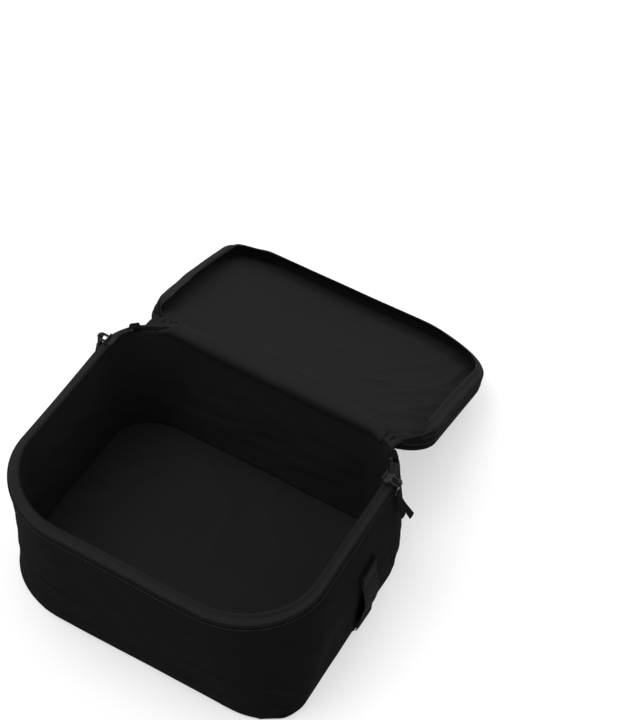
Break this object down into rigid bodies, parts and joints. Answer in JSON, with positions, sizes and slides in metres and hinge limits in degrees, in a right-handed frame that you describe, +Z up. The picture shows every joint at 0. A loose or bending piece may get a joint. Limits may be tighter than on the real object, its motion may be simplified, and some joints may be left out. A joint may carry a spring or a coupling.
{
  "type": "packing cube",
  "caption": "Padded fabric packing cube with rounded corners, a zipped tray-shaped lid folded back, pull tabs and a webbing side handle.",
  "frame": {"origin": "middle of the base's underside, where the cube rests on a surface", "axes": "+X along the long side and the hinge line, towards the end with the handle; +Y from the front to the hinge side; +Z up"},
  "size_m": [0.296, 0.4921, 0.1332],
  "materials": {
    "shell_fabric": "matte woven nylon",
    "lining": "matte woven polyester",
    "foam": "soft polyethylene foam",
    "binding_tape": "ribbed tape",
    "zip_tape": "herringbone tape",
    "zip_coil": "satin nylon",
    "black_metal": "satin black enamel",
    "webbing": "ribbed webbing"
  },
  "bodies": {
    "case": {"base_lining": "lining", "base_padding": "foam", "base_piping": "binding_tape", "base_seam_binding": "binding_tape", "base_shell": "shell_fabric", "handle_patch_lower": "webbing", "handle_patch_upper": "webbing", "lower_zip_coil": "zip_coil", "lower_zip_tape": "zip_tape", "rim_binding": "binding_tape", "side_handle": "webbing", "wall_lining": "lining", "wall_padding": "foam", "wall_shell": "shell_fabric", "zip_end_tab_left": "shell_fabric", "zip_end_tab_right": "shell_fabric", "zip_stop_left": "black_metal", "zip_stop_right": "black_metal"},
    "hinge_strip": {"hinge_strip": "shell_fabric", "hinge_lining": "lining"},
    "lid": {"lid_lining": "lining", "lid_padding": "foam", "lid_panel": "shell_fabric", "lid_piping": "binding_tape", "lid_rim_binding": "binding_tape", "lid_seam_binding": "binding_tape", "lid_wall": "shell_fabric", "lid_wall_lining": "lining", "upper_zip_coil": "zip_coil", "upper_zip_tape": "zip_tape"},
    "slider_left": {"slider_left": "black_metal", "slider_bridge_left": "black_metal"},
    "slider_right": {"slider_right": "black_metal", "slider_bridge_right": "black_metal"},
    "pull_left": {"puller_left": "black_metal", "pull_ribbon_left": "webbing"},
    "pull_right": {"puller_right": "black_metal", "pull_ribbon_right": "webbing"}
  },
  "joints": [
    {"name": "lower_fold", "type": "hinge", "parent": "case", "child": "hinge_strip", "pos_m": [0, 0.125, 0.1241], "axis": [1, 0, 0], "range_deg": [0, 169]},
    {"name": "upper_fold", "type": "hinge", "parent": "hinge_strip", "child": "lid", "pos_m": [0, 0.1304, 0.09632], "axis": [1, 0, 0], "range_deg": [0, 33.7]},
    {"name": "slider_left_slide", "type": "slide", "parent": "case", "child": "slider_left", "axis": [0, -1, 0], "range_m": [0, 0.12]},
    {"name": "slider_right_slide", "type": "slide", "parent": "case", "child": "slider_right", "axis": [0, -1, 0], "range_m": [0, 0.12]},
    {"name": "pull_left_swing", "type": "hinge", "parent": "slider_left", "child": "pull_left", "pos_m": [-0.143, 0.076, 0.1302], "axis": [0, 1, 0], "range_deg": [0, 130]},
    {"name": "pull_right_swing", "type": "hinge", "parent": "slider_right", "child": "pull_right", "pos_m": [0.143, 0.076, 0.1302], "axis": [0, -1, 0], "range_deg": [0, 130]}
  ],
  "couplings": [
    {"joint": "upper_fold", "follows": "lower_fold", "ratio": 0.19941}
  ]
}
